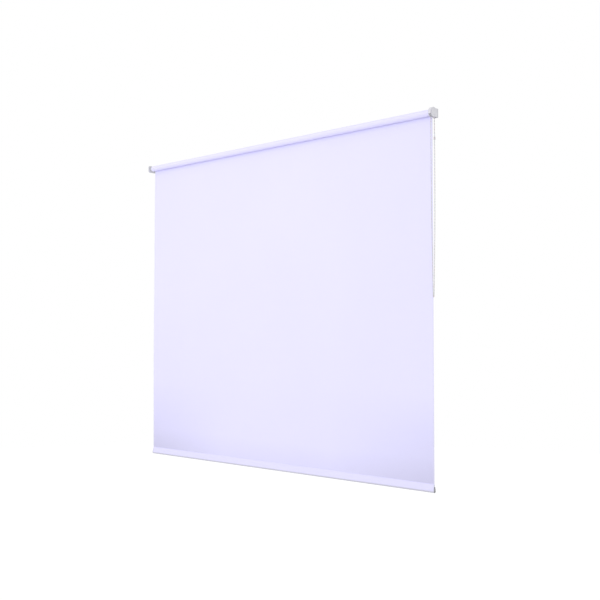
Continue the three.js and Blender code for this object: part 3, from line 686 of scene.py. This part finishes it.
def sheet_lift(x, s):
    """Soft standing waves that die out at the roller and the rail, and edges that curl a little."""
    share = s / SHEET_LENGTH
    across = (x - LEFT_EDGE) / (RIGHT_EDGE - LEFT_EDGE)
    onset = np.clip(share / WAVES_FULL_FROM, 0, 1)
    body = np.sin(math.pi * np.clip(share, 0, 1)) ** 0.8 * onset ** 2 * (3 - 2 * onset)
    waves = (
        1.1 * np.sin(math.tau * 1.7 * across + 0.6)
        + 0.6 * np.sin(math.tau * 3.9 * across + 2.0 + 1.5 * share)
        + 0.3 * np.sin(math.tau * 8.3 * across - 1.1 + 3.0 * share)
    )
    bars = 0.12 * np.sin(math.tau * 11 * share + 0.8) + 0.08 * np.sin(math.tau * 27 * share)
    edges = swell(x, LEFT_EDGE, EDGE_CURL_WIDTH) + swell(x, RIGHT_EDGE, EDGE_CURL_WIDTH)
    curl = 1.6 * edges * (0.6 + 0.4 * np.cos(9 * share))
    return MM * body * (waves + bars + curl)


def hanging_fabric():
    line = [(SHEET_Y, z) for z in np.linspace(SHEET_TOP, SHEET_BOTTOM - 0.4 * MM, 150)]
    return add_piece("hanging_fabric", cloth(line, stations(150), sheet_lift), "blind_fabric", "fixed",
                     "fabric_sheet", crisp=50)


def fabric_winding():
    """Spiral from the wall side, where the sheet meets it, over the top and inwards."""
    line = []
    steps = round(CYCLIC_STEPS * WINDING_TURNS)
    for i in range(steps + 1):
        turns = WINDING_TURNS * i / steps
        radius = ROLL_RADIUS - WINDING_PITCH * turns
        angle = math.tau * turns
        line.append((AXIS.y + radius * math.cos(angle), AXIS.z + radius * math.sin(angle)))

    def lift(x, s):
        return 0.02 * MM * np.sin(x * 41 + s * 60)

    return add_piece("fabric_winding", cloth(line, stations(60), lift), "blind_fabric", "roller",
                     "fabric_roll", crisp=50)


HEM_LOW, HEM_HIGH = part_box("hem_pocket")
HEM_FOOT = (HEM_HIGH.y - HEM_LOW.y) / 2
HEM_TOP = 1.6 * MM
HEM_FOOT_Z = HEM_LOW.z + HEM_FOOT
HEM_TOP_Z = HEM_HIGH.z - HEM_TOP


def arc(centre, radius, start, end, steps):
    """Points (y, z) on an arc, with its angles in radians."""
    return [
        (centre[0] + radius * math.cos(a), centre[1] + radius * math.sin(a))
        for a in np.linspace(start, end, steps)
    ]


def drop_outline(foot, top, top_z, top_steps=9, foot_steps=36):
    """Outline (y, z) of the hem: from its small round top down the room side, round the foot and up."""
    lean = math.asin((foot - top) / (top_z - HEM_FOOT_Z))
    upper = arc((SHEET_Y, top_z), top, math.pi / 2, math.pi - lean, top_steps)
    lower = arc((SHEET_Y, HEM_FOOT_Z), foot, math.pi - lean, math.tau + lean, foot_steps)
    upper_back = arc((SHEET_Y, top_z), top, lean, math.pi / 2, top_steps)

    def between(first, last, count=12):
        return [tuple(p) for p in np.linspace(first, last, count)[1:-1]]

    return upper + between(upper[-1], lower[0]) + lower + between(lower[-1], upper_back[0]) + upper_back


def hem():
    half = FABRIC_THICKNESS / 2
    line = drop_outline(HEM_FOOT - half, HEM_TOP - half, HEM_TOP_Z)[:-1]

    def lift(x, s):
        weld = swell(s, 4.5 * MM, 0.7 * MM)
        pucker = np.sin(x * math.tau / 0.013) * swell(s, 6.5 * MM, 3 * MM)
        slack = np.sin(x * 17 + 1) * np.sin(x * 5.3) * swell(s, 16 * MM, 8 * MM)
        return MM * (0.16 * weld - 0.05 * pucker - 0.12 * slack)

    return add_piece("hem_sleeve", cloth(line, stations(420), lift), "blind_fabric", "rail",
                     "hem_pocket", crisp=50)


sheet = hanging_fabric()
winding = fabric_winding()
hem_sleeve = hem()
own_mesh(sheet)


# ---- Rail end caps ----
CAP_TOP = 2.9 * MM
CAP_THICKNESS = 1.3 * MM
CAP_EDGE = 0.4 * MM
CAP_PLUG_RADIUS = 3.5 * MM


def along_x(mesh, x):
    """Puts a plate drawn in XY as a section in (Y, Z), with its middle at x."""
    turn = Matrix(((0, 0, 1, x), (1, 0, 0, 0), (0, 1, 0, 0), (0, 0, 0, 1)))
    mesh.transform(turn)
    return mesh


def rail_cap(name, node, outward):
    low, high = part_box(node)
    foot = HEM_FOOT_Z - low.z
    face_x = high.x - CAP_THICKNESS / 2 if outward > 0 else low.x + CAP_THICKNESS / 2
    outline = drop_outline(foot, CAP_TOP, high.z - CAP_TOP, 9, 30)[:-1]
    face = along_x(plate(outline, CAP_THICKNESS, CAP_EDGE), face_x)
    length = (high.x - low.x) - CAP_THICKNESS / 2
    start = face_x - outward * length
    profile = [
        (0, start, 0), (CAP_PLUG_RADIUS, start, 0.5 * MM), (CAP_PLUG_RADIUS, face_x, 0), (0, face_x, 0),
    ]
    plug = lathe(profile, Matrix.Translation((0, SHEET_Y, HEM_FOOT_Z)), 40)
    made = add_piece(name, joined([face, plug]), "cap_plastic", "rail", node, crisp=38)
    return keep_faces_flat(made)


rail_cap("rail_cap_right", "rail_end_cap_right", 1)
rail_cap("rail_cap_left", "rail_end_cap_left", -1)


# ---- Wall brackets ----
BRACKET_THICKNESS = 1.6 * MM
BRACKET_BEND = 3 * MM
PLATE_CORNER = 8 * MM
FLANGE_CORNER = 4 * MM
SLOT_WIDTH = 4.6 * MM
SLOT_LENGTH = 8 * MM
SLOT_SPACING = 21 * MM
PRONG_OFFSET = 10 * MM
PRONG_SLOT = (8.6 * MM, 3.2 * MM)
PIN_HOLE_RADIUS = 2.85 * MM


def slot_outline(x, y, length, width, steps=8):
    """Slot with round ends, its long side along the first axis."""
    reach = (length - width) / 2
    right = arc((x + reach, y), width / 2, -math.pi / 2, math.pi / 2, steps)
    left = arc((x - reach, y), width / 2, math.pi / 2, 3 * math.pi / 2, steps)
    return right + left


def rectangle(x, y, width, height, corner):
    return rounded([
        (x - width / 2, y - height / 2, corner), (x + width / 2, y - height / 2, corner),
        (x + width / 2, y + height / 2, corner), (x - width / 2, y + height / 2, corner),
    ])


def wall_bracket(name, node, outward, plate_holes):
    """One flat blank, cut and then bent: an upright plate and a flange along the wall. The blank is
    drawn with X from the plate's free end to the flange's end and Y as the height."""
    low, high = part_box(node)
    half_height = (high.z - low.z) / 2
    depth = high.y - low.y
    middle_x = (low.x + high.x) / 2
    flange = high.x - low.x
    bend_middle = BRACKET_BEND - BRACKET_THICKNESS / 2
    plate_length = depth - BRACKET_BEND
    bend_length = bend_middle * math.pi / 2
    flange_start = plate_length + bend_length
    blank = flange_start + flange - BRACKET_BEND
    outline = rounded([
        (0, -half_height, PLATE_CORNER), (blank, -half_height, FLANGE_CORNER),
        (blank, half_height, FLANGE_CORNER), (0, half_height, PLATE_CORNER),
    ], 8)
    slot_x = flange_start + flange / 2 - BRACKET_BEND
    holes = [slot_outline(slot_x, y, SLOT_LENGTH, SLOT_WIDTH) for y in (-SLOT_SPACING / 2, SLOT_SPACING / 2)]
    axis_from_end = AXIS.y - low.y
    axis_height = AXIS.z - (low.z + high.z) / 2
    holes += plate_holes(axis_from_end, axis_height)
    made = plate(outline, BRACKET_THICKNESS, 0.3 * MM, holes)

    shape = bmesh.new()
    shape.from_mesh(made)
    bend_steps = 10
    for i in range(bend_steps + 1):
        place = (plate_length + bend_length * i / bend_steps, 0, 0)
        whole = [*shape.verts, *shape.edges, *shape.faces]
        bmesh.ops.bisect_plane(shape, geom=whole, plane_co=place, plane_no=(1, 0, 0), dist=0.002 * MM)
    for vertex in shape.verts:
        u, height, out = vertex.co
        if u <= plate_length:
            x, y = flange / 2 - BRACKET_THICKNESS / 2 + out, u - depth
        elif u <= flange_start:
            angle = (u - plate_length) / bend_middle
            radius = bend_middle + out
            x = flange / 2 - BRACKET_BEND + radius * math.cos(angle)
            y = radius * math.sin(angle) - BRACKET_BEND
        else:
            x = flange / 2 - BRACKET_BEND - (u - flange_start)
            y = out - BRACKET_THICKNESS / 2
        vertex.co = (middle_x + outward * x, high.y + y, height + (low.z + high.z) / 2)
    bmesh.ops.recalc_face_normals(shape, faces=shape.faces)
    shape.to_mesh(made)
    shape.free()
    bracket = add_piece(name, made, "bracket_steel", "fixed", node, crisp=38)
    return keep_faces_flat(bracket)


def prong_slots(x, y):
    return [rectangle(x, y + offset, *PRONG_SLOT, 0.3 * MM) for offset in (-PRONG_OFFSET, PRONG_OFFSET)]


def pin_hole(x, y):
    return [arc((x, y), PIN_HOLE_RADIUS, 0, math.tau, 33)[:-1]]


wall_bracket("right_wall_bracket", "control_bracket", 1, prong_slots)
wall_bracket("left_wall_bracket", "idle_bracket", -1, pin_hole)


# ---- Control unit ----
CHEEK_RADIUS = 20.5 * MM
CHEEK_THICKNESS = 1.7 * MM
RIM_THICKNESS = 1.8 * MM
SPINDLE_RADIUS = 6 * MM
SCREW_BORE = (1.8 * MM, 12 * MM)
PRONG = (8 * MM, 2.6 * MM)
GUARD_MOUTH_BELOW_AXIS = 7 * MM


def fixed_hub():
    low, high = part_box("control_hub")
    plate_inner = high.x - BRACKET_THICKNESS
    outer = plate_inner - 0.3 * MM
    inner = outer - CHEEK_THICKNESS
    bore, bore_depth = SCREW_BORE
    profile = [
        (0, low.x + bore_depth, 0), (bore, low.x + bore_depth, 0), (bore, low.x, 0.2 * MM),
        (SPINDLE_RADIUS, low.x, 0.6 * MM), (SPINDLE_RADIUS, inner - 1.2 * MM, 0),
        (SPINDLE_RADIUS + 0.3 * MM, inner, 0), (CHEEK_RADIUS, inner, 0.5 * MM),
        (CHEEK_RADIUS, outer, 0.5 * MM), (0, outer, 0),
    ]
    parts = [lathe(profile)]
    for offset in (-PRONG_OFFSET, PRONG_OFFSET):
        prong = plate(rectangle(AXIS.y, AXIS.z + offset, *PRONG, 0.3 * MM), high.x - inner, 0.2 * MM)
        parts.append(along_x(prong, (high.x + inner) / 2))
    hub = add_piece("fixed_hub", joined(parts), "white_plastic", "fixed", "control_hub", crisp=38)
    return keep_faces_flat(hub)


def guard():
    low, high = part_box("chain_guard")
    cheek_end = low.x + CHEEK_THICKNESS
    rim_inner = CHEEK_RADIUS - RIM_THICKNESS
    hole = 10.3 * MM
    profile = [
        (hole, low.x, 0.25 * MM), (14 * MM, low.x, 0.3 * MM), (14.5 * MM, low.x + 0.3 * MM, 0.2 * MM),
        (17.5 * MM, low.x + 0.3 * MM, 0.2 * MM), (18 * MM, low.x, 0.3 * MM),
        (CHEEK_RADIUS, low.x, 0.8 * MM), (CHEEK_RADIUS, high.x, 0.4 * MM), (rim_inner, high.x, 0.3 * MM),
        (rim_inner, cheek_end, 0.6 * MM), (hole, cheek_end, 0.25 * MM),
    ]
    cup = lathe(profile)
    mouth_top = AXIS.z - GUARD_MOUTH_BELOW_AXIS
    reach = CHEEK_RADIUS + 2 * MM
    mouth = block(
        (cheek_end, AXIS.y - reach, AXIS.z - reach), (high.x + 2 * MM, AXIS.y + reach, mouth_top))
    made = add_piece("chain_cover", cut_by(cup, mouth), "white_plastic", "fixed", "chain_guard", crisp=38)
    return keep_faces_flat(made)


fixed_hub()
guard()


# ---- Idle end ----
PLUG_FLANGE = (13 * MM, 1.7 * MM)
PLUG_HEAD_RADIUS = 8.5 * MM
PLUG_BARREL_RADIUS = 11.2 * MM
SPRING_CHAMBER = (5.2 * MM, 27 * MM)
PIN_RADIUS = 2.5 * MM
PIN_COLLAR = (4.8 * MM, 1.8 * MM)
PIN_TAIL = (2.2 * MM, 7.5 * MM)
SPRING_WIRE = 0.8 * MM
SPRING_RADIUS = 3.9 * MM
SPRING_TURNS = 7
SPRING_STEPS_PER_TURN = 28


def idle_plug():
    low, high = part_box("idle_end_plug")
    flange_radius, flange_thickness = PLUG_FLANGE
    head_radius = PLUG_HEAD_RADIUS
    barrel = PLUG_BARREL_RADIUS
    bore = PIN_HOLE_RADIUS
    chamber, chamber_length = SPRING_CHAMBER
    tube_end = LEFT_EDGE - 0.3 * MM
    flange_start = tube_end - flange_thickness
    profile = [
        (bore, low.x, 0.3 * MM), (head_radius, low.x, 0.8 * MM), (head_radius, low.x + 3 * MM, 1.5 * MM),
        (flange_radius, flange_start, 0.4 * MM), (flange_radius, tube_end, 0.3 * MM), (barrel, tube_end, 0),
        (barrel, high.x, 0.6 * MM), (chamber, high.x, 0.3 * MM), (chamber, high.x - chamber_length, 0),
        (bore, high.x - chamber_length, 0),
    ]
    keyway = block(
        (tube_end, AXIS.y - 1.2 * MM, AXIS.z - barrel - 1 * MM),
        (high.x + 1 * MM, AXIS.y + 1.2 * MM, AXIS.z - barrel + 0.7 * MM))
    made = add_piece("idle_plug", cut_by(lathe(profile), keyway), "white_plastic", "roller",
                     "idle_end_plug", crisp=38)
    return keep_faces_flat(made)


def pin():
    low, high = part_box("idle_pin")
    radius = PIN_RADIUS
    collar, collar_thickness = PIN_COLLAR
    tail, tail_length = PIN_TAIL
    collar_end = high.x - tail_length
    collar_start = collar_end - collar_thickness
    profile = [
        (0, low.x, 0), (radius, low.x, 0.8 * MM), (radius, collar_start, 0.15 * MM),
        (collar, collar_start, 0.25 * MM), (collar, collar_end, 0.25 * MM), (tail, collar_end, 0.15 * MM),
        (tail, high.x, 0.4 * MM), (0, high.x, 0),
    ]
    made = add_piece("spring_pin", lathe(profile, segments=48), "zinc_steel", "pin", "idle_pin", crisp=38)
    return keep_faces_flat(made)


def pin_spring():
    low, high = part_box("idle_pin_spring")
    start, end = low.x + SPRING_WIRE / 2, high.x - SPRING_WIRE / 2
    steps = SPRING_TURNS * SPRING_STEPS_PER_TURN
    points = []
    for i in range(steps + 1):
        share = i / steps
        angle = math.tau * SPRING_TURNS * share
        points.append((
            start + (end - start) * share,
            AXIS.y + SPRING_RADIUS * math.cos(angle),
            AXIS.z + SPRING_RADIUS * math.sin(angle),
        ))
    made = add_piece("pin_coil_spring", tube_along(points, SPRING_WIRE / 2, 10), "spring_steel", "roller",
                     "idle_pin_spring")
    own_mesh(made)
    return made


idle_plug()
pin()
pin_spring()


# ---- Finishes of the CAD parts that stay ----
KEPT_NODES = {
    "roller_tube": "aluminium",
    "bottom_rail": "aluminium",
    "fabric_tape": "tape_film",
    "drive_sleeve": "white_plastic",
    "chain_wheel": "white_plastic",
    "pin_spring_stop": "white_plastic",
    "brake_spring_inner": "spring_steel",
    "brake_spring_outer": "spring_steel",
    "retaining_washer": "zinc_steel",
    "retaining_screw": "zinc_steel",
}
for node, slot in KEPT_NODES.items():
    frame["nodes"][node].material_slots[0].material = MATERIALS[slot]


# ---- Floor and light ----
FLOOR_Z = -2.9
FLOOR_Y = -1.2
FLOOR_RADIUS = 14.0


def make_floor():
    shape = bmesh.new()
    bmesh.ops.create_circle(shape, cap_ends=True, radius=FLOOR_RADIUS, segments=96)
    mesh = bpy.data.meshes.new("floor")
    shape.to_mesh(mesh)
    shape.free()
    floor = bpy.data.objects.new("floor", mesh)
    floor.location = ((LEFT_EDGE + RIGHT_EDGE) / 2, FLOOR_Y, FLOOR_Z)
    bpy.context.scene.collection.objects.link(floor)

    material = bpy.data.materials.new("pale_floor")
    material.use_nodes = True
    tree = material.node_tree
    shader = tree.nodes["Principled BSDF"]
    shader.inputs["Roughness"].default_value = 0.9
    shader.inputs["Base Color"].default_value = (0.62, 0.62, 0.64, 1)
    shader.inputs["Specular IOR Level"].default_value = 0.0
    glow = tree.nodes.new("ShaderNodeEmission")
    glow.inputs["Strength"].default_value = 1.05
    place = tree.nodes.new("ShaderNodeTexCoord")
    distance = tree.nodes.new("ShaderNodeVectorMath")
    distance.operation = "LENGTH"
    tree.links.new(place.outputs["Object"], distance.inputs[0])
    fade = tree.nodes.new("ShaderNodeMapRange")
    fade.interpolation_type = "SMOOTHSTEP"
    fade.inputs["From Min"].default_value = 2.2
    fade.inputs["From Max"].default_value = 3.6
    tree.links.new(distance.outputs["Value"], fade.inputs["Value"])
    mix = tree.nodes.new("ShaderNodeMixShader")
    tree.links.new(fade.outputs["Result"], mix.inputs["Fac"])
    tree.links.new(shader.outputs["BSDF"], mix.inputs[1])
    tree.links.new(glow.outputs["Emission"], mix.inputs[2])
    tree.links.new(mix.outputs["Shader"], tree.nodes["Material Output"].inputs["Surface"])
    mesh.materials.append(material)


def make_world():
    world = bpy.data.worlds.new("studio")
    world.use_nodes = True
    background = world.node_tree.nodes["Background"]
    background.inputs["Color"].default_value = (1, 1, 1, 1)
    background.inputs["Strength"].default_value = 1.0
    bpy.context.scene.world = world
    bpy.context.scene.view_settings.view_transform = "Standard"


def softbox(name, place, aim, size, power):
    data = bpy.data.lights.new(name, "AREA")
    data.shape = "RECTANGLE"
    data.size, data.size_y = size
    data.energy = power
    light = bpy.data.objects.new(name, data)
    light.location = place
    light.rotation_euler = (Vector(aim) - Vector(place)).to_track_quat("-Z", "Y").to_euler()
    light.visible_camera = False
    bpy.context.scene.collection.objects.link(light)


make_floor()
make_world()
softbox("key_light", (-0.9, -3.5, 0), (-0.9, 0, -0.4), (2.0, 1.0), 25)
softbox("fill_light", (-0.9, -3.0, -1.2), (-0.9, 0, -0.6), (2.0, 1.0), 8)
softbox("side_light", (-3.0, -2.5, 0.2), (-1.1, 0, -0.5), (1.0, 1.0), 3.2)
